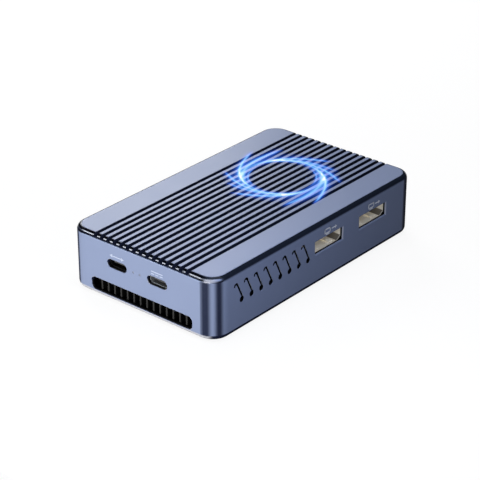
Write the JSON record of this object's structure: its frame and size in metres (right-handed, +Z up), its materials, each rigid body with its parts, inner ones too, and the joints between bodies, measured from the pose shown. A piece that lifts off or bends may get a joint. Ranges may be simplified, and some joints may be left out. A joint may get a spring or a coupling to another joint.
{
  "type": "desktop docking station",
  "caption": "Flat box-shaped desktop docking station with a grooved metal top, rounded corners, end sockets over a low vent slot, display sockets in one side and a fan inside.",
  "frame": {"origin": "centre of the case's outline, on the plane that the feet stand on", "axes": "+X along the case, away from the end with the small sockets; +Z up; display sockets face -Y"},
  "size_m": [0.12, 0.0714, 0.0258],
  "materials": {
    "case_metal": "bead-blasted, anodised blue-grey",
    "screw_steel": "blackened steel",
    "foot_rubber": "matt black rubber",
    "board_laminate": "solder-masked laminate",
    "chip_black": "moulded chip package",
    "soft_pad": "soft silicone pad",
    "sink_metal": "extruded, dark anodised",
    "socket_steel": "bright nickel-plated steel",
    "tongue_black": "moulded black plastic",
    "lens_clear": "clear moulded plastic",
    "fan_plastic": "moulded black plastic",
    "lid_steel": "stamped steel",
    "magnet_grey": "sintered ferrite",
    "shaft_steel": "ground steel",
    "bearing_bronze": "sintered bronze",
    "core_steel": "stacked core sheet",
    "coil_copper": "enamelled copper wire",
    "lead_black": "flat lead",
    "connector_white": "moulded natural plastic",
    "flex_white": "white flexible board",
    "guide_clear": "clear moulded light guide",
    "emitter_blue": "blue light emitter"
  },
  "bodies": {
    "case": {"housing": "case_metal", "bottom_cover": "case_metal", "cover_screws": "screw_steel", "foot_1": "foot_rubber", "foot_2": "foot_rubber", "foot_3": "foot_rubber", "foot_4": "foot_rubber", "main_board": "board_laminate", "board_screws": "screw_steel", "controller_chip": "chip_black", "video_chip": "chip_black", "power_chip": "chip_black", "controller_pad": "soft_pad", "video_pad": "soft_pad", "power_pad": "soft_pad", "heat_sink": "sink_metal", "heat_sink_screws": "screw_steel", "data_socket_shell": "socket_steel", "data_socket_tongue": "tongue_black", "power_socket_shell": "socket_steel", "power_socket_tongue": "tongue_black", "display_socket_1_shell": "socket_steel", "display_socket_1_tongue": "tongue_black", "display_socket_2_shell": "socket_steel", "display_socket_2_tongue": "tongue_black", "indicator_lens": "lens_clear", "fan_frame": "fan_plastic", "fan_lid": "lid_steel", "fan_screws": "screw_steel", "fan_bearing": "bearing_bronze", "fan_stator": "core_steel", "fan_coils": "coil_copper", "fan_lead": "lead_black", "fan_connector": "connector_white", "light_guide": "guide_clear", "light_board": "flex_white", "light_emitters": "emitter_blue"},
    "fan_rotor": {"fan_impeller": "fan_plastic", "fan_magnet": "magnet_grey", "fan_shaft": "shaft_steel"}
  },
  "joints": [
    {"name": "fan_spin", "type": "hinge", "parent": "case", "child": "fan_rotor", "pos_m": [0.0223, 0, 0.0167], "axis": [0, 0, 1], "continuous": true}
  ]
}
